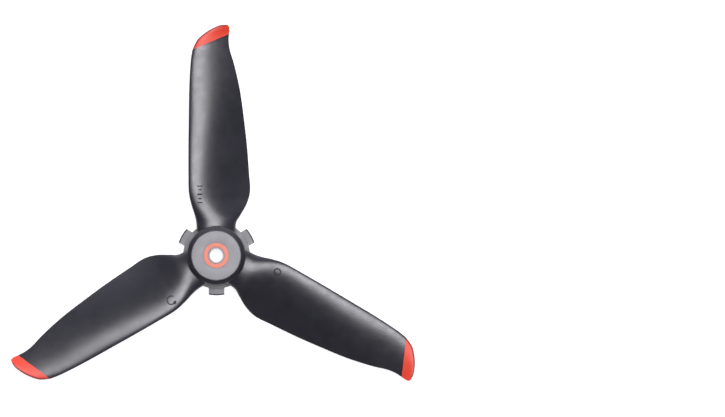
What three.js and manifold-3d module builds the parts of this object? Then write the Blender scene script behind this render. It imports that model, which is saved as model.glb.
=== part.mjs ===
// A quick-release, three-blade propeller for a camera drone, 5.3 inches across, that turns counter-clockwise.
// Frame, in millimetres: the origin is on the spin axis, in the flat face that sits on the motor. +Z is up,
// away from the motor. Blade 1 points along +Y, and the three lock lugs stand midway between the blades.
import * as THREE from "three";
import { mergeVertices } from "three/addons/utils/BufferGeometryUtils.js";
import Module from "manifold-3d";

const wasm = await Module();
wasm.setup();

// ---------------------------------------------------------------- driving dimensions

const BLADES = 3;
const BLADE_STEP = (2 * Math.PI) / BLADES;
const LUG_OFFSET = BLADE_STEP / 2; // from a blade to the next lug
const SEGMENTS = 48; // sides of every piece turned about the spin axis
const SCREW_SEGMENTS = 16; // sides of the screws and of their holes
const GAP = 0.05; // between pieces that touch

const BASE_TOP = 2.0; // the lock base runs from z = 0 to here
const BASE_RADIUS = 9.75;
const BASE_MOUTH = 5.6; // the motor's boss comes in through this
const LUG_WIDTH = 4.6;
const LUG_REACH = 11.7;
const LUG_TOP = 1.25;
const LUG_ROOT = BASE_MOUTH + 1; // a lug starts inside the base ring, this far from the axis
const LUG_STEPS = 6; // sides of a lug's curved end

const HUB_BOTTOM = BASE_TOP + GAP;
const HUB_RADIUS = 8.5;
const HUB_SHOULDER = 8.1; // where the hub's side starts to slope in
const HUB_TOP = 9.0;
const HUB_LIP_RADIUS = 7.22;
const CAVITY_RADIUS = 6.6;
const CAVITY_TOP = 7.3;
const RECESS_FLOOR = 8.15; // the cap lies in a recess down to here
const RECESS_RADIUS = 7.12;

const CAP_RADIUS = RECESS_RADIUS - GAP;
const CAP_BOTTOM = RECESS_FLOOR + GAP;
const CAP_TOP = 9.15;
const CAP_CHAMFER = 0.15;
const SPIGOT = { inner: 4.6, outer: 5.4, bottom: 7.75 }; // the ring under the cap that centres it in the hub

const SLEEVE_BORE = 2.0; // takes the motor's 4 mm shaft
const SLEEVE_RADIUS = 2.3;
const SLEEVE_BOTTOM = 2.3;
const SLEEVE_TOP = 9.1;
const COLLAR = { radius: 3.0, bottom: 6.6, top: CAVITY_TOP - GAP };

const MARKER_RADIUS = 3.75;
const MARKER_FLOOR = 8.7;
const MARKER_TOP = 9.12;

const PLATE = { radius: 6.3, bore: 2.48, bottom: 2.1, top: 2.8, tubeRadius: 3.2, tubeTop: 4.3 };

const SPRING = { wire: 0.5, radius: 4.5, turns: 5, bottom: PLATE.top + GAP, top: CAVITY_TOP - GAP };
const TURN_STEPS = 16; // pieces that one turn of the wire is made of
const WIRE_STEPS = 6; // sides of half the wire

const SCREW = { circle: 7.55, radius: 0.6, headRadius: 1.15, headBottom: 0.2, headHeight: 0.65, tip: 5.2 };
const POINT = { radius: 0.15, length: 0.5 }; // the end of a screw
const SLOT = { length: 1.3, width: 0.28, depth: 0.35 }; // each arm of the cross in a screw's head

// ---------------------------------------------------------------- blade

// Chords from root to tip, as [across, out] of the leading edge and of the trailing edge, across a blade that
// points out along +Y. They swing round towards the tip until one lies along the edge of the coloured end.
const CHORDS = [
  { lead: [-5.6, 4.0], trail: [5.6, 4.0] },
  { lead: [-5.8, 9.1], trail: [5.7, 9.1] },
  { lead: [-6.3, 11.7], trail: [7.0, 11.7] },
  { lead: [-7.3, 15.0], trail: [8.8, 15.0] },
  { lead: [-8.0, 18.6], trail: [9.8, 18.8] },
  { lead: [-8.1, 24.0], trail: [9.5, 24.0] },
  { lead: [-8.1, 32.0], trail: [8.9, 32.0] },
  { lead: [-8.0, 40.0], trail: [8.0, 40.0] },
  { lead: [-7.9, 47.4], trail: [6.9, 48.0] },
  { lead: [-7.7, 52.6], trail: [5.3, 55.3] },
  { lead: [-7.4, 57.0], trail: [4.0, 59.6] },
  { lead: [-7.1, 58.9], trail: [3.6, 62.4] },
  { lead: [-6.9, 59.9], trail: [3.7, 64.5] },
  { lead: [-5.4, 62.9], trail: [3.8, 65.5] },
  { lead: [-2.4, 65.4], trail: [3.8, 66.2] },
  { lead: [0.6, 66.9], trail: [3.6, 66.9] },
  { lead: [2.1, 67.2], trail: [3.1, 67.2] },
];
const TIP_CHORD = 12; // the coloured end starts at this chord
const TIP_GAP = 0.02; // in chords

// The rest changes along the blade, as [out, value] knots.
const TWIST = [
  [4, 4.6], [9.5, 4.8], [11.2, 6.8], [12.4, 9.2], [14.6, 14.2], [17, 18.4], [21, 20.2],
  [28, 19.1], [38, 16.2], [49.6, 11.6], [55.5, 9.9], [61.3, 8.2], [68, 7.0],
]; // degrees that a section leans down towards its trailing edge
const THICKNESS = [
  [4, 4.4], [9.5, 4.3], [11.2, 3.7], [13.4, 2.7], [15.5, 2.0], [19, 1.5], [28, 1.2], [45, 1.05], [68, 0.95],
];
const CREST = [[4, 7.8], [12, 7.7], [20, 8.0], [68, 7.2]]; // the height of a section's highest point
// The camber, as a share of the chord.
const CAMBER = [[4, 0.07], [38, 0.07], [49.6, 0.045], [55.5, 0.03], [61.3, 0.025], [68, 0.02]];
const ROUND_UNTIL = 9; // the root's section is an ellipse up to here
const AIRFOIL_FROM = 19;
const TRAIL_EDGE = 0.3; // thickness of the trailing edge
const TIP_EDGE = 0.36; // thickness at the last chord
const ROWS_PER_CHORD = 2;
const COLUMNS = 11; // faces across each side of the blade
const CREST_SAMPLES = 32; // places across a chord where its highest point is looked for

// The height of a smooth curve through values[k] at places[k].
function through(places, values, at) {
  const last = places.length - 1;
  let k = 0;
  while (k < last - 1 && at > places[k + 1]) k++;
  const step = places[k + 1] - places[k];
  const slope = (i) => {
    const a = Math.max(i - 1, 0);
    const b = Math.min(i + 1, last);
    return ((values[b] - values[a]) / (places[b] - places[a])) * step;
  };
  const t = THREE.MathUtils.clamp((at - places[k]) / step, 0, 1);
  return (
    values[k] * (1 + 2 * t) * (1 - t) ** 2 +
    values[k + 1] * t * t * (3 - 2 * t) +
    slope(k) * t * (1 - t) ** 2 +
    slope(k + 1) * t * t * (t - 1)
  );
}

const along = (knots, out) => through(knots.map((knot) => knot[0]), knots.map((knot) => knot[1]), out);

function edgePoint(edge, chord) {
  const places = CHORDS.map((_, i) => i);
  const read = (axis) => through(places, CHORDS.map((c) => c[edge][axis]), chord);
  return new THREE.Vector2(read(0), read(1));
}

// Half the thickness, at a share of the chord, of a section whose greatest thickness is 1.
const airfoil = (x) =>
  5 * (0.2969 * Math.sqrt(x) - 0.126 * x - 0.3516 * x ** 2 + 0.2843 * x ** 3 - 0.1036 * x ** 4);
const ellipse = (x) => Math.sqrt(x * (1 - x));

// A place on the blade at a share of a chord. Its heights aren't yet set against the blade's crest line.
function sectionPoint(chord, share) {
  const lead = edgePoint("lead", chord);
  const trail = edgePoint("trail", chord);
  const place = lead.clone().lerp(trail, share);
  const width = lead.distanceTo(trail);
  const wing = THREE.MathUtils.smoothstep(place.y, ROUND_UNTIL, AIRFOIL_FROM);
  const closing = THREE.MathUtils.smoothstep(chord, TIP_CHORD, CHORDS.length - 1);
  const thickness = THREE.MathUtils.lerp(along(THICKNESS, place.y), TIP_EDGE, closing);
  const half = thickness * THREE.MathUtils.lerp(ellipse(share), airfoil(share), wing);
  const edge = (TRAIL_EDGE / 2) * share * wing;
  const camber = 4 * along(CAMBER, place.y) * width * share * (1 - share) * wing;
  const lean = place.x * Math.tan(THREE.MathUtils.degToRad(along(TWIST, place.y)));
  return { place, middle: camber - lean, off: half + edge };
}

// The highest point of the section along a chord.
function sectionTop(chord) {
  const shares = Array.from({ length: CREST_SAMPLES + 1 }, (_, k) => k / CREST_SAMPLES);
  return Math.max(...shares.map((share) => {
    const { middle, off } = sectionPoint(chord, share);
    return middle + off;
  }));
}

// The blade between two chords, as one closed surface.
function bladeGeometry(from, to) {
  const rows = Math.round((to - from) * ROWS_PER_CHORD);
  const ring = 2 * COLUMNS + 1;
  const points = [];
  const faces = [];
  for (let row = 0; row <= rows; row++) {
    const chord = THREE.MathUtils.lerp(from, to, row / rows);
    const highest = sectionTop(chord);
    for (let k = 0; k < ring; k++) {
      const side = k <= COLUMNS ? 1 : -1;
      const column = side > 0 ? k : ring - k;
      const { place, middle, off } = sectionPoint(chord, (1 - Math.cos((Math.PI * column) / COLUMNS)) / 2);
      points.push(new THREE.Vector3(place.x, place.y, middle + side * off - highest + along(CREST, place.y)));
    }
  }
  const quad = (a, b, c, d) => faces.push(a, b, c, a, c, d);
  for (let row = 0; row < rows; row++)
    for (let k = 0; k < ring; k++) {
      const next = (k + 1) % ring;
      quad(row * ring + k, row * ring + next, (row + 1) * ring + next, (row + 1) * ring + k);
    }
  const last = rows * ring;
  for (let k = 1; k < ring - 1; k++) {
    faces.push(0, k + 1, k);
    faces.push(last, last + k, last + k + 1);
  }
  return new THREE.BufferGeometry().setFromPoints(points).setIndex(faces);
}

// ---------------------------------------------------------------- solids

// A closed geometry as a manifold-3d solid.
function solid(geometry) {
  const bare = geometry.index ? geometry.toNonIndexed() : geometry.clone();
  bare.deleteAttribute("normal");
  bare.deleteAttribute("uv");
  const merged = mergeVertices(bare, 1e-4);
  return new wasm.Manifold(
    new wasm.Mesh({
      numProp: 3,
      vertProperties: merged.attributes.position.array,
      triVerts: new Uint32Array(merged.index.array),
    }),
  );
}

function geometryOf(made) {
  const { vertProperties, triVerts } = made.getMesh();
  return new THREE.BufferGeometry()
    .setAttribute("position", new THREE.BufferAttribute(vertProperties, 3))
    .setIndex(new THREE.BufferAttribute(triVerts, 1));
}

// A profile of [radius, z] points, anticlockwise with the radius to the right, turned about the spin axis.
function turned(profile, segments = SEGMENTS) {
  const points = profile.map(([radius, z]) => new THREE.Vector2(radius, z));
  return new THREE.LatheGeometry(points, segments).rotateX(Math.PI / 2);
}

// A closed ring with a rectangular section.
const ringProfile = (inner, outer, bottom, top) => [
  [inner, bottom],
  [outer, bottom],
  [outer, top],
  [inner, top],
  [inner, bottom],
];

const atBlade = (index, geometry, offset = 0) => geometry.clone().rotateZ(index * BLADE_STEP + offset);
const eachBlade = (make) => Array.from({ length: BLADES }, (_, index) => make(index));

// ---------------------------------------------------------------- pieces

function rotorGeometry() {
  const blank = solid(
    turned([
      [0, HUB_BOTTOM],
      [HUB_RADIUS, HUB_BOTTOM],
      [HUB_RADIUS, HUB_SHOULDER],
      [HUB_LIP_RADIUS, HUB_TOP],
      [0, HUB_TOP],
    ]),
  );
  const hollow = solid(
    turned([
      [0, 0],
      [CAVITY_RADIUS, 0],
      [CAVITY_RADIUS, CAVITY_TOP],
      [SLEEVE_RADIUS + GAP, CAVITY_TOP],
      [SLEEVE_RADIUS + GAP, RECESS_FLOOR],
      [SPIGOT.inner - GAP, RECESS_FLOOR],
      [SPIGOT.inner - GAP, SPIGOT.bottom - GAP],
      [SPIGOT.outer + GAP, SPIGOT.bottom - GAP],
      [SPIGOT.outer + GAP, RECESS_FLOOR],
      [RECESS_RADIUS, RECESS_FLOOR],
      [RECESS_RADIUS, HUB_TOP + 1],
      [0, HUB_TOP + 1],
    ]),
  );
  const blade = bladeGeometry(0, TIP_CHORD - TIP_GAP);
  const hole = screwHole(SCREW.radius, SCREW.radius, 2 * SCREW.tip);
  let made = blank;
  for (let i = 0; i < BLADES; i++) made = made.add(solid(atBlade(i, blade)));
  made = made.subtract(hollow);
  for (let i = 0; i < BLADES; i++) made = made.subtract(solid(atBlade(i, hole)));
  return geometryOf(made);
}

// A round or tapered hole on the first screw's axis, centred on z = 0, with room for the screw.
function screwHole(topRadius, bottomRadius, length) {
  return new THREE.CylinderGeometry(topRadius + GAP, bottomRadius + GAP, length, SCREW_SEGMENTS)
    .rotateX(Math.PI / 2)
    .translate(0, SCREW.circle, 0);
}

function capGeometry() {
  return turned([
    [SLEEVE_RADIUS + GAP, CAP_BOTTOM],
    [SPIGOT.inner, CAP_BOTTOM],
    [SPIGOT.inner, SPIGOT.bottom],
    [SPIGOT.outer, SPIGOT.bottom],
    [SPIGOT.outer, CAP_BOTTOM],
    [CAP_RADIUS, CAP_BOTTOM],
    [CAP_RADIUS, CAP_TOP - CAP_CHAMFER],
    [CAP_RADIUS - CAP_CHAMFER, CAP_TOP],
    [MARKER_RADIUS + GAP, CAP_TOP],
    [MARKER_RADIUS + GAP, MARKER_FLOOR],
    [SLEEVE_RADIUS + GAP, MARKER_FLOOR],
    [SLEEVE_RADIUS + GAP, CAP_BOTTOM],
  ]);
}

function sleeveGeometry() {
  return turned([
    [SLEEVE_BORE, SLEEVE_BOTTOM],
    [SLEEVE_RADIUS, SLEEVE_BOTTOM],
    [SLEEVE_RADIUS, COLLAR.bottom],
    [COLLAR.radius, COLLAR.bottom],
    [COLLAR.radius, COLLAR.top],
    [SLEEVE_RADIUS, COLLAR.top],
    [SLEEVE_RADIUS, SLEEVE_TOP],
    [SLEEVE_BORE, SLEEVE_TOP],
    [SLEEVE_BORE, SLEEVE_BOTTOM],
  ]);
}

// One lock lug, its outer end an arc about the spin axis.
function lugGeometry() {
  const half = LUG_WIDTH / 2;
  const swing = Math.asin(half / LUG_REACH);
  const outline = new THREE.Shape();
  outline.moveTo(-half, LUG_ROOT);
  outline.lineTo(half, LUG_ROOT);
  outline.lineTo(half, LUG_REACH * Math.cos(swing));
  outline.absarc(0, 0, LUG_REACH, Math.PI / 2 - swing, Math.PI / 2 + swing, false);
  const options = { depth: LUG_TOP, bevelEnabled: false, curveSegments: LUG_STEPS };
  return new THREE.ExtrudeGeometry(outline, options);
}

function lockBaseGeometry() {
  const headMiddle = SCREW.headBottom + SCREW.headHeight / 2;
  const seat = screwHole(SCREW.radius, SCREW.headRadius, SCREW.headHeight).translate(0, 0, headMiddle);
  const well = screwHole(SCREW.headRadius, SCREW.headRadius, 2 * SCREW.headBottom + GAP);
  const shank = screwHole(SCREW.radius, SCREW.radius, 3 * BASE_TOP);
  let made = solid(turned(ringProfile(BASE_MOUTH, BASE_RADIUS, 0, BASE_TOP)));
  for (let i = 0; i < BLADES; i++) {
    made = made.add(solid(atBlade(i, lugGeometry(), LUG_OFFSET)));
    for (const cut of [seat, well, shank]) made = made.subtract(solid(atBlade(i, cut)));
  }
  return geometryOf(made);
}

function ejectorPlateGeometry() {
  return turned([
    [PLATE.bore, PLATE.bottom],
    [PLATE.radius, PLATE.bottom],
    [PLATE.radius, PLATE.top],
    [PLATE.tubeRadius, PLATE.top],
    [PLATE.tubeRadius, PLATE.tubeTop],
    [PLATE.bore, PLATE.tubeTop],
    [PLATE.bore, PLATE.bottom],
  ]);
}

class Helix extends THREE.Curve {
  getPoint(t, target = new THREE.Vector3()) {
    const angle = 2 * Math.PI * SPRING.turns * t;
    const travel = SPRING.top - SPRING.bottom - SPRING.wire;
    return target.set(
      SPRING.radius * Math.cos(angle),
      SPRING.radius * Math.sin(angle),
      SPRING.bottom + SPRING.wire / 2 + travel * t,
    );
  }
}

function springGeometry() {
  const section = new THREE.Shape().absarc(0, 0, SPRING.wire / 2, 0, 2 * Math.PI, false);
  const steps = TURN_STEPS * SPRING.turns;
  const options = { steps, curveSegments: WIRE_STEPS, extrudePath: new Helix(), bevelEnabled: false };
  return geometryOf(solid(new THREE.ExtrudeGeometry(section, options)));
}

function screwGeometry() {
  const headTop = SCREW.headBottom + SCREW.headHeight;
  const body = solid(
    turned(
      [
        [0, SCREW.headBottom],
        [SCREW.headRadius, SCREW.headBottom],
        [SCREW.radius, headTop],
        [SCREW.radius, SCREW.tip - POINT.length],
        [POINT.radius, SCREW.tip],
        [0, SCREW.tip],
      ],
      SCREW_SEGMENTS,
    ),
  );
  const arm = new THREE.BoxGeometry(SLOT.length, SLOT.width, 2 * SLOT.depth);
  arm.translate(0, 0, SCREW.headBottom);
  const cross = solid(arm).add(solid(arm.clone().rotateZ(Math.PI / 2)));
  return geometryOf(body.subtract(cross)).translate(0, SCREW.circle, 0);
}

// ---------------------------------------------------------------- assembly

const plastic = (color, roughness) => new THREE.MeshStandardMaterial({ color, roughness, metalness: 0 });
const steel = (color, roughness) => new THREE.MeshStandardMaterial({ color, roughness, metalness: 1 });

const materials = {
  blade: plastic(0x2b2b2e, 0.4),
  tip: plastic(0xf04030, 0.4),
  cap: plastic(0x98989c, 0.5),
  marker: plastic(0xf5573f, 0.5),
  base: plastic(0x84867f, 0.55),
  plate: plastic(0x3a3a3d, 0.5),
  sleeve: steel(0xb8b8ba, 0.3),
  spring: steel(0xc4c4c8, 0.25),
  screw: steel(0x4a4a4e, 0.4),
};

const propeller = new THREE.Group();

function place(name, geometry, material) {
  const mesh = new THREE.Mesh(geometry, material);
  mesh.name = name;
  propeller.add(mesh);
}

place("three_blade_rotor", rotorGeometry(), materials.blade);
const tip = bladeGeometry(TIP_CHORD + TIP_GAP, CHORDS.length - 1);
eachBlade((i) => place(`blade_tip_${i + 1}`, atBlade(i, tip), materials.tip));
place("hub_cap", capGeometry(), materials.cap);
const marker = turned(ringProfile(SLEEVE_RADIUS + GAP, MARKER_RADIUS, MARKER_FLOOR + GAP, MARKER_TOP));
place("marker_ring", marker, materials.marker);
place("shaft_sleeve", sleeveGeometry(), materials.sleeve);
place("lock_base", lockBaseGeometry(), materials.base);
place("ejector_plate", ejectorPlateGeometry(), materials.plate);
place("ejector_spring", springGeometry(), materials.spring);
eachBlade((i) => place(`base_screw_${i + 1}`, atBlade(i, screwGeometry()), materials.screw));

export default propeller;
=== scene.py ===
"""A quick-release, three-blade drone propeller with coloured blade ends, on a pale floor under one softbox.

Lengths are in millimetres until a mesh is made, and in metres from there on. The propeller's axis is Z, its
motor seat is at z = 0, and blade 1 points along +Y. The rotor and its blade ends are made from the same few
chords as the CAD model's, with many more points and rounded edges.
"""

import math

import bmesh
import bpy
import numpy as np
from mathutils import Matrix, Vector

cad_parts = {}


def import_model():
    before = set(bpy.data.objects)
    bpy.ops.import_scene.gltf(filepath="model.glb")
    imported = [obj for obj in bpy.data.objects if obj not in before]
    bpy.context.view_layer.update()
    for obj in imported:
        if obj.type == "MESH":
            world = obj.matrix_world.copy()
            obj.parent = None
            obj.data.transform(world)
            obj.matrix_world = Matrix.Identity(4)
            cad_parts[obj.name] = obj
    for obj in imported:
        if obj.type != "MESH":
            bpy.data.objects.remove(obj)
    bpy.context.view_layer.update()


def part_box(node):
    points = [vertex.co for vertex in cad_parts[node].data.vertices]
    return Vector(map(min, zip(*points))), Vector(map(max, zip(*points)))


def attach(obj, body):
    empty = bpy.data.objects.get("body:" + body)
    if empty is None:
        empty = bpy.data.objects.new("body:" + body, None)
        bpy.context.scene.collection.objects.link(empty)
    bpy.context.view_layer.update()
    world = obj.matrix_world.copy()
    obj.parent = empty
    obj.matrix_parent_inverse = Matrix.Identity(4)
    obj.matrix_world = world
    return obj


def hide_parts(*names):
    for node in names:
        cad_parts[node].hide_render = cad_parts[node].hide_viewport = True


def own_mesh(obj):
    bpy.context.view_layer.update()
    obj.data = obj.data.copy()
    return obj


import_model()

MM = 0.001
BLADES = 3
BLADE_STEP = 2 * math.pi / BLADES
SHARP_ANGLE = math.radians(32)
SMOOTH_SIDES = 192  # sides of a turned piece
DISC_SIDES = 48  # sides of a screw's holes
ARC_STEPS = 4  # sides of a rounded corner
WELD = 0.002  # points closer than this are merged after a cut
BLADE_WELD = 0.0002


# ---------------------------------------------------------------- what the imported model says

def span(node):
    """A CAD node's lowest and highest corner, in millimetres."""
    low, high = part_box(node)
    return np.array(low) / MM, np.array(high) / MM


def outer_radius(node):
    """The outer radius of a turned CAD node, in millimetres."""
    return span(node)[1][0]


def bottom(node):
    return span(node)[0][2]


def top(node):
    return span(node)[1][2]


# ---------------------------------------------------------------- meshes

def new_object(name, points, faces):
    """An object whose points are given in millimetres."""
    mesh = bpy.data.meshes.new(name)
    mesh.from_pydata((np.asarray(points, float) * MM).tolist(), [], faces)
    made = bpy.data.objects.new(name, mesh)
    bpy.context.scene.collection.objects.link(made)
    tidy_normals(made)
    return made


def tidy_normals(made):
    work = bmesh.new()
    work.from_mesh(made.data)
    bmesh.ops.recalc_face_normals(work, faces=work.faces)
    work.to_mesh(made.data)
    work.free()


def rounded(corners, steps=ARC_STEPS):
    """A closed outline of (x, y, radius) corners, each corner turned into an arc of its radius."""
    outline = []
    for k, (x, y, radius) in enumerate(corners):
        here = Vector((x, y))
        back = (Vector(corners[k - 1][:2]) - here).normalized()
        ahead = (Vector(corners[(k + 1) % len(corners)][:2]) - here).normalized()
        if not radius:
            outline.append(here)
            continue
        half = back.angle(ahead) / 2
        centre = here + (back + ahead).normalized() * (radius / math.sin(half))
        first = here + back * (radius / math.tan(half)) - centre
        last = here + ahead * (radius / math.tan(half)) - centre
        sweep = first.angle_signed(last)
        for step in range(steps + 1):
            outline.append(centre + Matrix.Rotation(-sweep * step / steps, 2) @ first)
    return [tuple(point) for point in outline]


def turned(name, corners, sides=SMOOTH_SIDES):
    """A ring turned about Z from a closed outline of (radius, z, corner radius)."""
    outline = rounded(corners)
    angles = np.arange(sides) * 2 * math.pi / sides
    points = [(r * math.cos(a), r * math.sin(a), z) for a in angles for r, z in outline]
    n = len(outline)
    faces = [
        (s * n + k, s * n + (k + 1) % n, (s + 1) % sides * n + (k + 1) % n, (s + 1) % sides * n + k)
        for s in range(sides)
        for k in range(n)
    ]
    return new_object(name, points, faces)


def prism(name, outline, low, high):
    """A closed prism on an outline of (x, y)."""
    n = len(outline)
    points = [(x, y, z) for z in (low, high) for x, y in outline]
    faces = [tuple(range(n)), tuple(range(n, 2 * n))]
    faces += [(k, (k + 1) % n, n + (k + 1) % n, n + k) for k in range(n)]
    return new_object(name, points, faces)


def disc(radius):
    angles = np.arange(DISC_SIDES) * 2 * math.pi / DISC_SIDES
    return [(radius * math.cos(a), radius * math.sin(a)) for a in angles]


def frustum(name, low_radius, high_radius, low, high):
    """A closed cone without its point, about Z. With two equal radii it is a cylinder."""
    n = DISC_SIDES
    points = [(x, y, low) for x, y in disc(low_radius)] + [(x, y, high) for x, y in disc(high_radius)]
    faces = [tuple(range(n)), tuple(range(n, 2 * n))]
    faces += [(k, (k + 1) % n, n + (k + 1) % n, n + k) for k in range(n)]
    return new_object(name, points, faces)


def moved(made, angle=0.0, shift=(0, 0, 0)):
    """Shifts an object's mesh, in millimetres, and then turns it about Z."""
    made.data.transform(Matrix.Rotation(angle, 4, "Z") @ Matrix.Translation(Vector(shift) * MM))
    return made


def cut(target, tools, operation="DIFFERENCE"):
    """Joins or cuts target with each of the tools, which are used up."""
    for tool in tools:
        modifier = target.modifiers.new("cut", "BOOLEAN")
        modifier.operation = operation
        modifier.solver = "MANIFOLD"
        modifier.object = tool
    bake_modifiers(target)
    for tool in tools:
        bpy.data.objects.remove(tool)
    return target


def bake_modifiers(made):
    bpy.context.view_layer.update()
    graph = bpy.context.evaluated_depsgraph_get()
    mesh = bpy.data.meshes.new_from_object(made.evaluated_get(graph))
    made.modifiers.clear()
    made.data = mesh


def clean(made, distance=WELD):
    """Merges the points that lie almost on each other, as a cut leaves them."""
    work = bmesh.new()
    work.from_mesh(made.data)
    bmesh.ops.remove_doubles(work, verts=work.verts, dist=distance * MM)
    bmesh.ops.dissolve_degenerate(work, edges=work.edges, dist=distance * MM / 2)
    bmesh.ops.recalc_face_normals(work, faces=work.faces)
    work.to_mesh(made.data)
    work.free()
    return made


def hand_over(made, material, stands_for=(), body="rotor"):
    """Gives a finished piece its shading, its material and its place on a CAD body."""
    made.data.materials.clear()
    made.data.materials.append(material)
    made.data.shade_smooth()
    made.data.set_sharp_from_angle(angle=SHARP_ANGLE)
    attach(made, body)
    if stands_for:
        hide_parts(*stands_for)
    return made


# ---------------------------------------------------------------- the blade's surface

# Chords from root to tip: the leading edge's (across, out) and the trailing edge's.
CHORDS = np.array([
    [(-5.6, 4.0), (5.6, 4.0)],
    [(-5.8, 9.1), (5.7, 9.1)],
    [(-6.3, 11.7), (7.0, 11.7)],
    [(-7.3, 15.0), (8.8, 15.0)],
    [(-8.0, 18.6), (9.8, 18.8)],
    [(-8.1, 24.0), (9.5, 24.0)],
    [(-8.1, 32.0), (8.9, 32.0)],
    [(-8.0, 40.0), (8.0, 40.0)],
    [(-7.9, 47.4), (6.9, 48.0)],
    [(-7.7, 52.6), (5.3, 55.3)],
    [(-7.4, 57.0), (4.0, 59.6)],
    [(-7.1, 58.9), (3.6, 62.4)],
    [(-6.9, 59.9), (3.7, 64.5)],
    [(-5.4, 62.9), (3.8, 65.5)],
    [(-2.4, 65.4), (3.8, 66.2)],
    [(0.6, 66.9), (3.6, 66.9)],
    [(2.1, 67.2), (3.1, 67.2)],
])
WAIST_CHORD = 1
TIP_CHORD = 12  # the coloured end starts here
LAST_CHORD = len(CHORDS) - 1
# The rest changes along the blade, as (out, value) knots.
TWIST = [
    (4, 4.6), (9.5, 4.8), (11.2, 6.8), (12.4, 9.2), (14.6, 14.2), (17, 18.4), (21, 20.2),
    (28, 19.1), (38, 16.2), (49.6, 11.6), (55.5, 9.9), (61.3, 8.2), (68, 7.0),
]  # degrees that a section leans down towards its trailing edge
THICKNESS = [
    (4, 4.4), (9.5, 4.3), (11.2, 3.7), (13.4, 2.7), (15.5, 2.0), (19, 1.5), (28, 1.2), (45, 1.05), (68, 0.95),
]
CREST = [(4, 7.8), (12, 7.7), (20, 8.0), (68, 7.2)]  # the height of a section's highest point
# The camber, as a share of the chord.
CAMBER = [(4, 0.07), (38, 0.07), (49.6, 0.045), (55.5, 0.03), (61.3, 0.025), (68, 0.02)]
ROUND_UNTIL = 9.0  # the root's section is an ellipse up to here
AIRFOIL_FROM = 19.0
TRAIL_EDGE = 0.3  # thickness of the trailing edge
TIP_EDGE = 0.36  # thickness at the last chord

HUB_RADIUS = 8.5
ROOT_END = 7.0  # a blade's root ends inside the hub's wall, this far from the axis
FILLET = 0.08  # between a blade and the hub
FILLET_SINK = 0.04  # the fillet's end lies this deep in the hub's wall
COLUMNS = 34  # faces across each side of a blade
ROOT_ROWS = 24  # rows of faces inside the hub and up to the waist
BODY_ROWS = 8  # rows of faces from each chord to the next
END_ROWS = 10  # the same on the coloured end
END_GAP = 0.002  # between the blade and its coloured end, in chords
CREST_SAMPLES = 65  # places across a chord where its highest point is looked for
EDGE_SAMPLES = 200  # places along a blade end's outer edge
RIM = "rim"  # the name of the blade ends' distance from their outer edge


def through(places, values, at):
    """The height of a smooth curve through values at places."""
    places, values, at = (np.asarray(a, float) for a in (places, values, at))
    last = len(places) - 1
    k = np.arange(last + 1)
    before, after = np.maximum(k - 1, 0), np.minimum(k + 1, last)
    slope = (values[after] - values[before]) / (places[after] - places[before])
    k = np.clip(np.searchsorted(places, at) - 1, 0, last - 1)
    step = places[k + 1] - places[k]
    t = np.clip((at - places[k]) / step, 0, 1)
    ends = values[k] * (1 + 2 * t) * (1 - t) ** 2 + values[k + 1] * t * t * (3 - 2 * t)
    return ends + step * (slope[k] * t * (1 - t) ** 2 + slope[k + 1] * t * t * (t - 1))


def along(knots, out):
    return through(*zip(*knots), out)


def smoothstep(x, low, high):
    t = np.clip((x - low) / (high - low), 0, 1)
    return t * t * (3 - 2 * t)


def lerp(a, b, t):
    return a + (b - a) * t


def airfoil(x):
    """Half the thickness of a section whose greatest thickness is 1."""
    return 5 * (0.2969 * np.sqrt(x) - 0.126 * x - 0.3516 * x**2 + 0.2843 * x**3 - 0.1036 * x**4)


def section(chord, share, side):
    """A place on the blade that lies along +Y, before its height is set against the blade's crest line.

    It is given as the place across, the place out, the middle's height, the surface's height over the middle,
    and the section's thickness. The side is 1 on top and -1 underneath.
    """
    edges = [through(range(LAST_CHORD + 1), CHORDS[:, e, axis], chord) for e in (0, 1) for axis in (0, 1)]
    lead_x, lead_y, trail_x, trail_y = edges
    x = lerp(lead_x, trail_x, share)
    y = lerp(lead_y, trail_y, share)
    inner = np.sqrt(np.maximum(ROOT_END**2 - x**2, 0))
    y = np.where(chord < WAIST_CHORD, lerp(inner, y, chord / WAIST_CHORD), y)
    width = np.hypot(trail_x - lead_x, trail_y - lead_y)
    wing = smoothstep(y, ROUND_UNTIL, AIRFOIL_FROM)
    closing = smoothstep(chord, TIP_CHORD, LAST_CHORD)
    thickness = lerp(along(THICKNESS, y), TIP_EDGE, closing)
    half = thickness * lerp(np.sqrt(share * (1 - share)), airfoil(share), wing)
    edge = TRAIL_EDGE / 2 * share * wing
    camber = 4 * along(CAMBER, y) * width * share * (1 - share) * wing
    middle = camber - x * np.tan(np.radians(along(TWIST, y)))
    return x, y, middle, side * (half + edge), thickness


def blade_points(chord, share, side):
    """The same place, with its true height."""
    x, y, middle, off, thickness = section(chord, share, side)
    samples = np.linspace(0, 1, CREST_SAMPLES)[None, :]
    _, _, sample_middle, sample_off, _ = section(chord, samples, 1)
    crest = (sample_middle + sample_off).max(axis=1, keepdims=True)
    return x, y, middle - crest + along(CREST, y), off, thickness


def with_fillet(x, y, middle, off, thickness):
    """Spreads a blade's oval root where it comes near the hub's wall, along a quarter circle."""
    clear = np.clip(np.hypot(x, y) - HUB_RADIUS + FILLET_SINK, 0, FILLET)
    spread = FILLET - np.sqrt(FILLET**2 - (FILLET - clear) ** 2)
    trail = x.max(axis=1, keepdims=True)
    centre = (x[:, :1] + trail) / 2
    across = (x - centre) / (trail - centre) ** 2
    up = off / (thickness / 2) ** 2
    length = np.maximum(np.hypot(across, up), 1e-9)
    return np.stack([x + spread * across / length, y, middle + off + spread * up / length], axis=-1)


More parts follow.
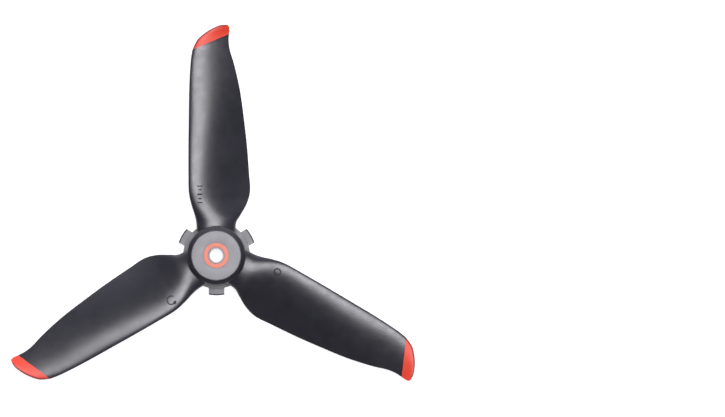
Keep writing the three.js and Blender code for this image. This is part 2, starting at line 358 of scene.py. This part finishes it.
def blade(name, chords, angle):
    """The closed piece of a blade through these chords, turned about Z by an angle."""
    around = np.arange(COLUMNS + 1) / COLUMNS
    share = (1 - np.cos(math.pi * around)) / 2
    ring_share = np.concatenate([share, share[:0:-1]])
    ring_side = np.concatenate([np.ones(COLUMNS + 1), -np.ones(COLUMNS)])
    grid = with_fillet(*blade_points(np.asarray(chords)[:, None], ring_share[None, :], ring_side[None, :]))
    rows, ring = grid.shape[:2]
    faces = [
        (r * ring + k, r * ring + (k + 1) % ring, (r + 1) * ring + (k + 1) % ring, (r + 1) * ring + k)
        for r in range(rows - 1)
        for k in range(ring)
    ]
    for row in (0, rows - 1):
        # Each end is closed by a strip of quads from its upper side to its lower side.
        for k in range(COLUMNS):
            upper, lower = row * ring + k, row * ring + (ring - k) % ring
            next_lower = row * ring + ring - k - 1
            corners = [upper, upper + 1, next_lower, lower]
            faces.append(tuple(dict.fromkeys(corners)))
    made = moved(new_object(name, grid.reshape(-1, 3), faces), angle)
    return clean(made, BLADE_WELD)


# ---------------------------------------------------------------- pieces

GAP = 0.05  # between pieces that touch
THROUGH = 1.0  # a cut starts this far outside the piece that it goes into

BASE_TOP = top("lock_base")
BASE_RADIUS = 9.75
BASE_MOUTH = 5.6
LUG_WIDTH = 4.6
LUG_REACH = 11.7
LUG_TOP = 1.25
LUG_BOTTOM = 0.02  # just above the base's face
LUG_ROOT = 6.2  # a lug starts inside the base ring, this far from the axis
LUG_CHAMFER = Vector((0.2, 0.3))  # in and down

HUB_BOTTOM = BASE_TOP + GAP
HUB_SHOULDER = 8.1
HUB_TOP = 9.0
HUB_LIP_RADIUS = 7.22
CAVITY_RADIUS = 6.6
CAVITY_TOP = 7.3
RECESS_RADIUS = outer_radius("hub_cap") + 0.04
RECESS_FLOOR = 8.15

CAP_FLOOR = RECESS_FLOOR + GAP
SPIGOT_INNER, SPIGOT_OUTER = 4.6, 5.4
MARKER_FLOOR = 8.7

SLEEVE_BORE = 2.0
SLEEVE_RADIUS = 2.3
SLEEVE_HOLE = SLEEVE_RADIUS + GAP
COLLAR_RADIUS = 3.0
COLLAR_BOTTOM = 6.6

PLATE_BORE = 2.48
PLATE_RADIUS = 6.3
PLATE_THICKNESS = 0.7
TUBE_RADIUS = 3.2

WIRE_RADIUS = 0.25
SPRING_RADIUS = 4.5
SPRING_TURNS = 5
CLOSED_SHARE = 0.12  # of the wire at each end, where it lies almost flat
TURN_STEPS = 48
WIRE_SIDES = 16

SCREW_CIRCLE = 7.55
SCREW_RADIUS = 0.6
HEAD_RADIUS = 1.15
HEAD_HEIGHT = 0.65
POINT_LENGTH = 0.5
CROSS_LENGTH, CROSS_WIDTH, CROSS_DEPTH = 1.3, 0.28, 0.35
CROSS_TURN = 0.4  # radians
SCREW_SIDES = 64


def at_blade(made, index, offset=0.0):
    """Turns a piece that was made at blade 1 to another blade."""
    return moved(made, (index + offset) * BLADE_STEP)


def at_screw(made, index):
    """Moves a piece that was made on the Z axis to a screw's axis."""
    return moved(made, index * BLADE_STEP, (0, SCREW_CIRCLE, 0))


def rotor(material):
    """The hub and the three blades, one moulding."""
    made = turned("rotor", [
        (CAVITY_RADIUS, HUB_BOTTOM, 0.1),
        (HUB_RADIUS, HUB_BOTTOM, 0.15),
        (HUB_RADIUS, HUB_SHOULDER, 0.3),
        (HUB_LIP_RADIUS, HUB_TOP, 0.04),
        (RECESS_RADIUS, HUB_TOP, 0.03),
        (RECESS_RADIUS, RECESS_FLOOR, 0),
        (SLEEVE_HOLE, RECESS_FLOOR, 0),
        (SLEEVE_HOLE, CAVITY_TOP, 0),
        (CAVITY_RADIUS, CAVITY_TOP, 0.3),
    ])
    root = np.linspace(0, WAIST_CHORD, ROOT_ROWS, endpoint=False)
    body = np.linspace(WAIST_CHORD, TIP_CHORD, (TIP_CHORD - WAIST_CHORD) * BODY_ROWS + 1)
    blades = [blade("blade", np.concatenate([root, body]), k * BLADE_STEP) for k in range(BLADES)]
    cut(made, blades, "UNION")
    hole = SCREW_RADIUS + GAP
    hole_top = top("base_screw_1") + 0.1
    cut(made, [at_screw(frustum("hole", hole, hole, -THROUGH, hole_top), k) for k in range(BLADES)])
    clean(made)
    return hand_over(made, material, ["three_blade_rotor"])


def mark_rim(made, angle):
    """Stores how far each point of a blade end is from its outer edge, in metres."""
    chords = np.linspace(TIP_CHORD, LAST_CHORD, EDGE_SAMPLES)
    edge = np.stack([through(range(LAST_CHORD + 1), CHORDS[:, 0, axis], chords) for axis in (0, 1)], axis=1)
    turned_back = Matrix.Rotation(-angle, 4, "Z")
    points = np.array([(turned_back @ vertex.co)[:2] for vertex in made.data.vertices])
    reach = np.linalg.norm(points[:, None] - edge[None] * MM, axis=2).min(axis=1)
    made.data.attributes.new(RIM, "FLOAT", "POINT").data.foreach_set("value", reach.astype(np.float32))


def blade_ends(material):
    chords = np.linspace(TIP_CHORD, LAST_CHORD, (LAST_CHORD - TIP_CHORD) * END_ROWS + 1)
    chords[0] += END_GAP
    for k in range(BLADES):
        made = blade(f"blade_end_{k + 1}", chords, k * BLADE_STEP)
        mark_rim(made, k * BLADE_STEP)
        hand_over(made, material, [f"blade_tip_{k + 1}"])


MARK_RISE = 0.02  # a mark stands this far out of the blade
MARK_ROOT = 0.06  # and reaches this far into it
MARK_STROKE = 0.36
MARK_PLACE = (-4.75, 17.9)  # the marks' centre: across, out
BAR_REACHES = (0.75, 0.45, 0.75, 0.45, 0.75)  # half of each bar's length
BAR_STEP = 1.25
ARROW_RADIUS = 1.2
ARROW_SHAFT = (-60, 190)  # degrees
ARROW_HEAD = (192, 245)
ARROW_HEAD_WIDTH = 3.2 * MARK_STROKE
ARROW_POINT_WIDTH = 0.04
MARK_RING_RADIUS = 0.9
STROKE_STEPS, HEAD_STEPS = 28, 6


def on_blade(across, out, rise):
    """Points over the upper side of the blade that lies along +Y."""
    chord = np.interp(out, CHORDS[:, 0, 1], range(LAST_CHORD + 1))[:, None]
    lead, trail = (through(range(LAST_CHORD + 1), CHORDS[:, e, 0], chord[:, 0]) for e in (0, 1))
    share = ((across - lead) / (trail - lead))[:, None]
    x, y, middle, off, _ = blade_points(chord, share, 1)
    return np.hstack([x, y, middle + off + rise])


def ribbon(path, widths, closed=False):
    """The points and faces of a thin stroke on the blade's upper side, along a path of (across, out)."""
    path, half = np.asarray(path, float), np.asarray(widths, float)[:, None] / 2
    if closed:
        ahead, back = np.roll(path, -1, axis=0), np.roll(path, 1, axis=0)
    else:
        ahead, back = np.vstack([path[1:], path[-1:]]), np.vstack([path[:1], path[:-1]])
    run = (ahead - back) / np.linalg.norm(ahead - back, axis=1, keepdims=True)
    left, right = (path + sign * half * np.stack([-run[:, 1], run[:, 0]], axis=1) for sign in (1, -1))
    rails = [(left, MARK_RISE), (right, MARK_RISE), (right, -MARK_ROOT), (left, -MARK_ROOT)]
    points = np.stack([on_blade(*rail.T, rise) for rail, rise in rails], axis=1).reshape(-1, 3)
    stations = len(path)
    faces = []
    for k in range(stations if closed else stations - 1):
        here, there = 4 * k, 4 * ((k + 1) % stations)
        faces += [(here + c, here + (c + 1) % 4, there + (c + 1) % 4, there + c) for c in range(4)]
    if not closed:
        faces += [(0, 1, 2, 3), tuple(4 * (stations - 1) + c for c in range(4))]
    return points, faces


def arc(radius, start, end, steps=STROKE_STEPS):
    """An arc about the marks' centre, from one angle in degrees to another."""
    angles = np.radians(np.linspace(start, end, steps + 1))
    return np.stack([radius * np.cos(angles), radius * np.sin(angles)], axis=1) + MARK_PLACE


def marks(material):
    """Plain printed marks: a row of bars on blade 1, an arrow round the way of turning on 2, a ring on 3."""
    across, out = MARK_PLACE
    bars = []
    for k, reach in enumerate(BAR_REACHES):
        place = out + BAR_STEP * (k - len(BAR_REACHES) // 2)
        bars.append(ribbon([(across - reach, place), (across + reach, place)], [MARK_STROKE] * 2))
    shaft = arc(ARROW_RADIUS, *ARROW_SHAFT)
    head = arc(ARROW_RADIUS, *ARROW_HEAD, HEAD_STEPS)
    narrowing = np.linspace(ARROW_HEAD_WIDTH, ARROW_POINT_WIDTH, len(head))
    arrow = ribbon(np.vstack([shaft, head]), [MARK_STROKE] * len(shaft) + list(narrowing))
    ring = ribbon(arc(MARK_RING_RADIUS, 0, 360)[:-1], [MARK_STROKE] * STROKE_STEPS, closed=True)
    for k, strokes in enumerate([bars, [arrow], [ring]]):
        points, faces = [], []
        for stroke_points, stroke_faces in strokes:
            faces += [tuple(corner + len(points) for corner in face) for face in stroke_faces]
            points += list(stroke_points)
        made = moved(new_object(f"blade_mark_{k + 1}", points, faces), k * BLADE_STEP)
        hand_over(made, material)


def cap(material):
    low, high = bottom("hub_cap"), top("hub_cap")
    radius = outer_radius("hub_cap")
    marker = outer_radius("marker_ring") + 0.03
    made = turned("cap", [
        (SLEEVE_HOLE, CAP_FLOOR, 0),
        (SPIGOT_INNER, CAP_FLOOR, 0),
        (SPIGOT_INNER, low, 0.08),
        (SPIGOT_OUTER, low, 0.08),
        (SPIGOT_OUTER, CAP_FLOOR, 0),
        (radius, CAP_FLOOR, 0.05),
        (radius, high, 0.12),
        (marker, high, 0.03),
        (marker, MARKER_FLOOR, 0),
        (SLEEVE_HOLE, MARKER_FLOOR, 0),
    ])
    return hand_over(made, material, ["hub_cap"])


def marker_ring(material):
    low, high = bottom("marker_ring"), top("marker_ring")
    inner = SLEEVE_HOLE + 0.01
    outer = outer_radius("marker_ring")
    made = turned("cap_ring", [(inner, low, 0), (outer, low, 0), (outer, high, 0.06), (inner, high, 0.08)])
    return hand_over(made, material, ["marker_ring"])


def sleeve(material):
    low, high = bottom("shaft_sleeve"), top("shaft_sleeve")
    collar_top = CAVITY_TOP - GAP
    made = turned("sleeve", [
        (SLEEVE_BORE, low, 0.08),
        (SLEEVE_RADIUS, low, 0.08),
        (SLEEVE_RADIUS, COLLAR_BOTTOM, 0),
        (COLLAR_RADIUS, COLLAR_BOTTOM, 0.1),
        (COLLAR_RADIUS, collar_top, 0.1),
        (SLEEVE_RADIUS, collar_top, 0),
        (SLEEVE_RADIUS, high, 0.06),
        (SLEEVE_BORE, high, 0.12),
    ])
    return hand_over(made, material, ["shaft_sleeve"])


def lock_base(material):
    made = turned("base_ring", [
        (BASE_MOUTH, 0, 0.2),
        (BASE_RADIUS, 0, 0.12),
        (BASE_RADIUS, BASE_TOP, 0.18),
        (BASE_MOUTH, BASE_TOP, 0.1),
    ])
    half = LUG_WIDTH / 2
    near, far = LUG_ROOT - 0.2, LUG_REACH + 1.3
    window = [(-half, near), (half, near), (half, far), (-half, far)]
    lugs = []
    for k in range(BLADES):
        lug = turned("lug", [
            (LUG_ROOT, LUG_BOTTOM, 0),
            (LUG_REACH, LUG_BOTTOM, 0.08),
            (LUG_REACH, LUG_TOP - LUG_CHAMFER.y, 0.1),
            (LUG_REACH - LUG_CHAMFER.x, LUG_TOP, 0.05),
            (LUG_ROOT, LUG_TOP, 0),
        ])
        wedge = at_blade(prism("wedge", window, -THROUGH, BASE_TOP + THROUGH), k, 0.5)
        lugs.append(cut(lug, [wedge], "INTERSECT"))
    cut(made, lugs, "UNION")
    head_low = bottom("base_screw_1")
    head_high = head_low + HEAD_HEIGHT
    wide, narrow = HEAD_RADIUS + 0.07, SCREW_RADIUS + 0.02
    shank = SCREW_RADIUS + 0.04
    wells = []
    for k in range(BLADES):
        wells.append(at_screw(frustum("well", wide, wide, -THROUGH, head_low + GAP), k))
        wells.append(at_screw(frustum("seat", wide, narrow, head_low, head_high + GAP), k))
        wells.append(at_screw(frustum("shank", shank, shank, 0.5, BASE_TOP + THROUGH), k))
    cut(made, wells)
    clean(made)
    return hand_over(made, material, ["lock_base"])


def ejector_plate(material):
    low, high = bottom("ejector_plate"), top("ejector_plate")
    made = turned("plate", [
        (PLATE_BORE, low, 0.1),
        (PLATE_RADIUS, low, 0.25),
        (PLATE_RADIUS, low + PLATE_THICKNESS, 0.1),
        (TUBE_RADIUS, low + PLATE_THICKNESS, 0.25),
        (TUBE_RADIUS, high, 0.1),
        (PLATE_BORE, high, 0.1),
    ])
    return hand_over(made, material, ["ejector_plate"], body="ejector")


def spring(material):
    """A coil spring with a closed turn at each end, built at one length."""
    low, high = bottom("ejector_spring"), top("ejector_spring")
    steps, sides = TURN_STEPS * SPRING_TURNS, WIRE_SIDES
    t = np.linspace(0, 1, steps + 1)
    rise = smoothstep(t, CLOSED_SHARE, 1 - CLOSED_SHARE)
    z = lerp(low + WIRE_RADIUS, high - WIRE_RADIUS, lerp(rise, t, CLOSED_SHARE))
    angle = 2 * math.pi * SPRING_TURNS * t
    points = []
    for a, height in zip(angle, z):
        for s in np.arange(sides) * 2 * math.pi / sides:
            r = SPRING_RADIUS + WIRE_RADIUS * math.cos(s)
            points.append((r * math.cos(a), r * math.sin(a), height + WIRE_RADIUS * math.sin(s)))
    faces = [
        (k * sides + s, k * sides + (s + 1) % sides, (k + 1) * sides + (s + 1) % sides, (k + 1) * sides + s)
        for k in range(steps)
        for s in range(sides)
    ]
    faces += [tuple(range(sides)), tuple(range(steps * sides, (steps + 1) * sides))]
    made = hand_over(new_object("coil_spring", points, faces), material, ["ejector_spring"])
    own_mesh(made)
    return made


def screws(material):
    reach, half = CROSS_LENGTH / 2, CROSS_WIDTH / 2
    arm = rounded([(-reach, -half, 0.05), (reach, -half, 0.05), (reach, half, 0.05), (-reach, half, 0.05)])
    for k in range(BLADES):
        low, high = bottom(f"base_screw_{k + 1}"), top(f"base_screw_{k + 1}")
        made = turned(f"screw_{k + 1}", [
            (0, low, 0),
            (HEAD_RADIUS, low, 0.06),
            (HEAD_RADIUS - 0.03, low + 0.08, 0),
            (SCREW_RADIUS, low + HEAD_HEIGHT, 0.1),
            (SCREW_RADIUS, high - POINT_LENGTH, 0.1),
            (0.12, high, 0),
            (0, high, 0),
        ], SCREW_SIDES)
        clean(made)
        arms = [prism("arm", arm, -THROUGH, low + CROSS_DEPTH) for _ in range(2)]
        moved(arms[0], CROSS_TURN)
        moved(arms[1], CROSS_TURN + math.pi / 2)
        cut(made, arms)
        at_screw(made, k)
        hand_over(made, material, [f"base_screw_{k + 1}"])


# ---------------------------------------------------------------- materials

def new_material(name):
    material = bpy.data.materials.new(name)
    material.use_nodes = True
    nodes = material.node_tree.nodes
    return material, nodes, material.node_tree.links, nodes["Principled BSDF"]


def noise(nodes, links, source, scale, detail=3.0, roughness=0.55):
    """Noise over object coordinates, scale cells to the metre."""
    node = nodes.new("ShaderNodeTexNoise")
    node.inputs["Scale"].default_value = scale
    node.inputs["Detail"].default_value = detail
    node.inputs["Roughness"].default_value = roughness
    links.new(source, node.inputs["Vector"])
    return node.outputs["Fac"]


def remap(nodes, links, source, low, high, from_low=0.3, from_high=0.7):
    node = nodes.new("ShaderNodeMapRange")
    node.inputs["From Min"].default_value = from_low
    node.inputs["From Max"].default_value = from_high
    node.inputs["To Min"].default_value = low
    node.inputs["To Max"].default_value = high
    links.new(source, node.inputs["Value"])
    return node.outputs["Result"]


def math_node(nodes, links, operation, *values):
    """A Math node whose inputs are these values, each of them a number or another node's output."""
    node = nodes.new("ShaderNodeMath")
    node.operation = operation
    for socket, value in zip(node.inputs, values):
        if isinstance(value, float):
            socket.default_value = value
        else:
            links.new(value, socket)
    return node.outputs["Value"]


def blend_colours(nodes, links, share, first, second):
    """A mix of two colours, each of them a triple or another node's output."""
    node = nodes.new("ShaderNodeMix")
    node.data_type = "RGBA"
    for name, colour in (("A", first), ("B", second)):
        if isinstance(colour, tuple):
            node.inputs[name].default_value = (*colour, 1)
        else:
            links.new(colour, node.inputs[name])
    links.new(share, node.inputs["Factor"])
    return node.outputs["Result"]


def axis_distance(nodes, links, place):
    """The distance from the Z axis, in metres."""
    flat = nodes.new("ShaderNodeVectorMath")
    flat.operation = "MULTIPLY"
    flat.inputs[1].default_value = (1, 1, 0)
    links.new(place, flat.inputs[0])
    length = nodes.new("ShaderNodeVectorMath")
    length.operation = "LENGTH"
    links.new(flat.outputs["Vector"], length.inputs[0])
    return length.outputs["Value"]


def bump(nodes, links, height, strength, distance):
    node = nodes.new("ShaderNodeBump")
    node.inputs["Strength"].default_value = strength
    node.inputs["Distance"].default_value = distance
    links.new(height, node.inputs["Height"])
    return node.outputs["Normal"]


def moulded_plastic(name, dark, light, roughness, grain=1800.0, depth=0.00001, bands=(), edge_shade=None):
    """Moulded plastic: a fine even grain, slow changes of tone, and a polish that varies from place to place.

    Each band is a colour that takes over between two distances from the axis, in millimetres. The edge shade
    is
    painted shade: a darker colour along a blade end's outer edge, which mark_rim measures from.
    """
    material, nodes, links, surface = new_material(name)
    place = nodes.new("ShaderNodeTexCoord").outputs["Object"]
    tone = noise(nodes, links, place, 160.0)
    colour = blend_colours(nodes, links, remap(nodes, links, tone, 0, 1), dark, light)
    # A band may be painted shade, like the dark line on the lugs' outer ends.
    for start, full, banded in bands:
        away = axis_distance(nodes, links, place)
        share = remap(nodes, links, away, 0, 1, start * MM, full * MM)
        colour = blend_colours(nodes, links, share, colour, banded)
    # painted shade: a darker colour along a blade end's outer edge, full at the edge and fading inward
    if edge_shade:
        rim = nodes.new("ShaderNodeAttribute")
        rim.attribute_name = RIM
        start, full = EDGE_SHADE_SPAN
        kept = remap(nodes, links, rim.outputs["Fac"], 0, 1, start * MM, full * MM)
        colour = blend_colours(nodes, links, kept, edge_shade, colour)
    links.new(colour, surface.inputs["Base Color"])
    polish = noise(nodes, links, place, 420.0, detail=4.0)
    low, high = roughness
    links.new(remap(nodes, links, polish, low, high), surface.inputs["Roughness"])
    fine = noise(nodes, links, place, grain, detail=2.0)
    links.new(bump(nodes, links, fine, 0.35, depth), surface.inputs["Normal"])
    surface.inputs["IOR"].default_value = 1.5
    return material


def machined_steel(name, tone, roughness):
    """Turned or drawn steel: fine rings that follow the axis of turning."""
    material, nodes, links, surface = new_material(name)
    place = nodes.new("ShaderNodeTexCoord").outputs["Object"]
    stretch = nodes.new("ShaderNodeMapping")
    stretch.inputs["Scale"].default_value = (1, 1, 12)
    links.new(place, stretch.inputs["Vector"])
    rings = noise(nodes, links, stretch.outputs["Vector"], 1500.0)
    darker = tuple(c * 0.75 for c in tone)
    colour = blend_colours(nodes, links, remap(nodes, links, rings, 0, 1), darker, tone)
    links.new(colour, surface.inputs["Base Color"])
    links.new(remap(nodes, links, rings, roughness * 0.8, roughness * 1.2), surface.inputs["Roughness"])
    links.new(bump(nodes, links, rings, 0.25, 0.00001), surface.inputs["Normal"])
    surface.inputs["Metallic"].default_value = 1.0
    return material


# The painted edge shade is full up to the first distance from the outer edge, and gone at the second:
# millimetres.
EDGE_SHADE_SPAN = (0.1, 0.6)
STIPPLE = {"grain": 5200.0, "depth": 0.00003}  # the matt pieces' grain: cells to the metre, and metres deep
# Painted shade: a dark line on the lugs' outer ends, where their chamfer faces away from the light.
LUG_END_PAINTED_SHADE = (11.24, 11.32, (0.012, 0.012, 0.012))
FADED_MARKER = (0.3, 0.21, 0.2)
MARKER_BANDS = [(3.35, 3.85, FADED_MARKER), (2.85, 2.3, FADED_MARKER)]

rotor(moulded_plastic("blade_plastic", (0.012, 0.0117, 0.016), (0.018, 0.0175, 0.023), (0.29, 0.36)))
# The blade ends carry painted shade: a darker red along their outer edges.
blade_ends(moulded_plastic(
    "tip_finish", (0.6, 0.038, 0.014), (0.68, 0.048, 0.02), (0.48, 0.56), edge_shade=(0.14, 0.008, 0.01),
))
marks(moulded_plastic("mark_print", (0.006, 0.006, 0.007), (0.01, 0.01, 0.011), (0.75, 0.85)))
cap(moulded_plastic("cap_plastic", (0.196, 0.195, 0.203), (0.214, 0.213, 0.221), (0.48, 0.6), **STIPPLE))
marker_ring(moulded_plastic(
    "marker_finish", (0.63, 0.15, 0.082), (0.69, 0.17, 0.097), (0.5, 0.6), bands=MARKER_BANDS,
))
sleeve(machined_steel("sleeve_steel", (0.2, 0.2, 0.21), 0.45))
lock_base(moulded_plastic(
    "base_plastic", (0.145, 0.145, 0.146), (0.175, 0.175, 0.176), (0.48, 0.62),
    bands=[LUG_END_PAINTED_SHADE], **STIPPLE,
))
ejector_plate(moulded_plastic("plate_plastic", (0.035, 0.035, 0.037), (0.05, 0.05, 0.052), (0.45, 0.55)))
spring(machined_steel("spring_steel", (0.6, 0.6, 0.62), 0.25))
screws(machined_steel("screw_steel", (0.07, 0.07, 0.075), 0.35))


# ---------------------------------------------------------------- floor, lights and camera

FLOOR_SIZE = 4000.0
FLOOR_THICKNESS = 20.0
FLOOR_GAP = 0.02  # under the motor seat
FLOOR_DARK = (0.54, 0.54, 0.54)
FLOOR_LIGHT = (0.56, 0.56, 0.56)
# Metres and watts from here on, but for the lens and the sensor, which are in millimetres.
SOFTBOX_PLACE = Vector((0.06, 0.105, 1.0))
SOFTBOX_RADIUS = 0.27
SOFTBOX_POWER = 11.8
SOFTBOX_COLOUR = (0.99, 0.985, 1.03)
FILL_COLOUR = (0.94, 0.93, 1.08, 1)
WINDOW_SIDE, WINDOW_SHARPNESS = Vector((0.21, 0.98, 0.0)), 3.0
PANE_SIDE, PANE_SHARPNESS = Vector((-0.05, 0.95, -0.4)), 14.0
PICTURE_WIDTH = 0.2117  # what the camera takes in from left to right, at the motor seat's height
PICTURE_CENTRE = Vector((0.0426, 0.01366, 0))
CAMERA_LENS, CAMERA_SENSOR = 500.0, 36.0


def floor():
    half = FLOOR_SIZE / 2
    outline = [(-half, -half), (half, -half), (half, half), (-half, half)]
    made = prism("floor", outline, -FLOOR_THICKNESS, -FLOOR_GAP)
    material, nodes, links, surface = new_material("floor")
    place = nodes.new("ShaderNodeTexCoord").outputs["Object"]
    tone = noise(nodes, links, place, 6.0)
    shade = blend_colours(nodes, links, remap(nodes, links, tone, 0, 1), FLOOR_DARK, FLOOR_LIGHT)
    links.new(shade, surface.inputs["Base Color"])
    surface.inputs["Roughness"].default_value = 0.9
    surface.inputs["Specular IOR Level"].default_value = 0.1
    surface.inputs["Emission Color"].default_value = (1, 1, 1, 1)
    surface.inputs["Emission Strength"].default_value = 0.7
    made.data.materials.append(material)


def softbox():
    """A round light over the propeller, turned towards it."""
    light = bpy.data.lights.new("overhead", "AREA")
    light.shape = "DISK"
    light.size = 2 * SOFTBOX_RADIUS
    light.energy = SOFTBOX_POWER
    light.color = SOFTBOX_COLOUR
    made = bpy.data.objects.new("overhead", light)
    made.location = SOFTBOX_PLACE
    made.rotation_euler = (-SOFTBOX_PLACE).to_track_quat("-Z", "Y").to_euler()
    made.visible_camera = False
    bpy.context.scene.collection.objects.link(made)


def facing(nodes, links, direction, sharpness):
    """How far the surround faces a direction: 1 straight towards it, falling to 0 straight away from it."""
    node = nodes.new("ShaderNodeVectorMath")
    node.operation = "DOT_PRODUCT"
    node.inputs[1].default_value = direction.normalized()
    links.new(nodes.new("ShaderNodeTexCoord").outputs["Generated"], node.inputs[0])
    share = remap(nodes, links, node.outputs["Value"], 0, 1, -1, 1)
    return math_node(nodes, links, "POWER", share, sharpness)


def world(seen, felt, window, pane):
    """A plain surround, which looks pale to the camera.

    The propeller gets less light from most of it, more from one side, and most from low down on that side.
    """
    made = bpy.data.worlds.new("studio")
    bpy.context.scene.world = made
    made.use_nodes = True
    nodes, links = made.node_tree.nodes, made.node_tree.links
    backdrop = nodes["Background"]
    backdrop.inputs["Color"].default_value = (seen, seen, seen, 1)
    strength = felt
    for side, sharpness, gain in ((WINDOW_SIDE, WINDOW_SHARPNESS, window), (PANE_SIDE, PANE_SHARPNESS, pane)):
        share = facing(nodes, links, side, sharpness)
        strength = math_node(nodes, links, "MULTIPLY_ADD", share, gain, strength)
    fill = nodes.new("ShaderNodeBackground")
    fill.inputs["Color"].default_value = FILL_COLOUR
    links.new(strength, fill.inputs["Strength"])
    choice = nodes.new("ShaderNodeMixShader")
    links.new(nodes.new("ShaderNodeLightPath").outputs["Is Camera Ray"], choice.inputs["Fac"])
    links.new(fill.outputs["Background"], choice.inputs[1])
    links.new(backdrop.outputs["Background"], choice.inputs[2])
    links.new(choice.outputs["Shader"], nodes["World Output"].inputs["Surface"])


def camera():
    """A long lens, straight above."""
    data = bpy.data.cameras.new("camera")
    data.sensor_width = CAMERA_SENSOR
    data.lens = CAMERA_LENS
    made = bpy.data.objects.new("camera", data)
    distance = PICTURE_WIDTH * CAMERA_LENS / CAMERA_SENSOR
    made.location = PICTURE_CENTRE + Vector((0, 0, distance))
    data.clip_start, data.clip_end = 0.1, 20.0
    bpy.context.scene.collection.objects.link(made)
    bpy.context.scene.camera = made


floor()
softbox()
world(seen=0.9, felt=0.085, window=0.75, pane=5.0)
camera()
bpy.context.scene.view_settings.view_transform = "Standard"
bpy.context.scene.view_settings.look = "None"
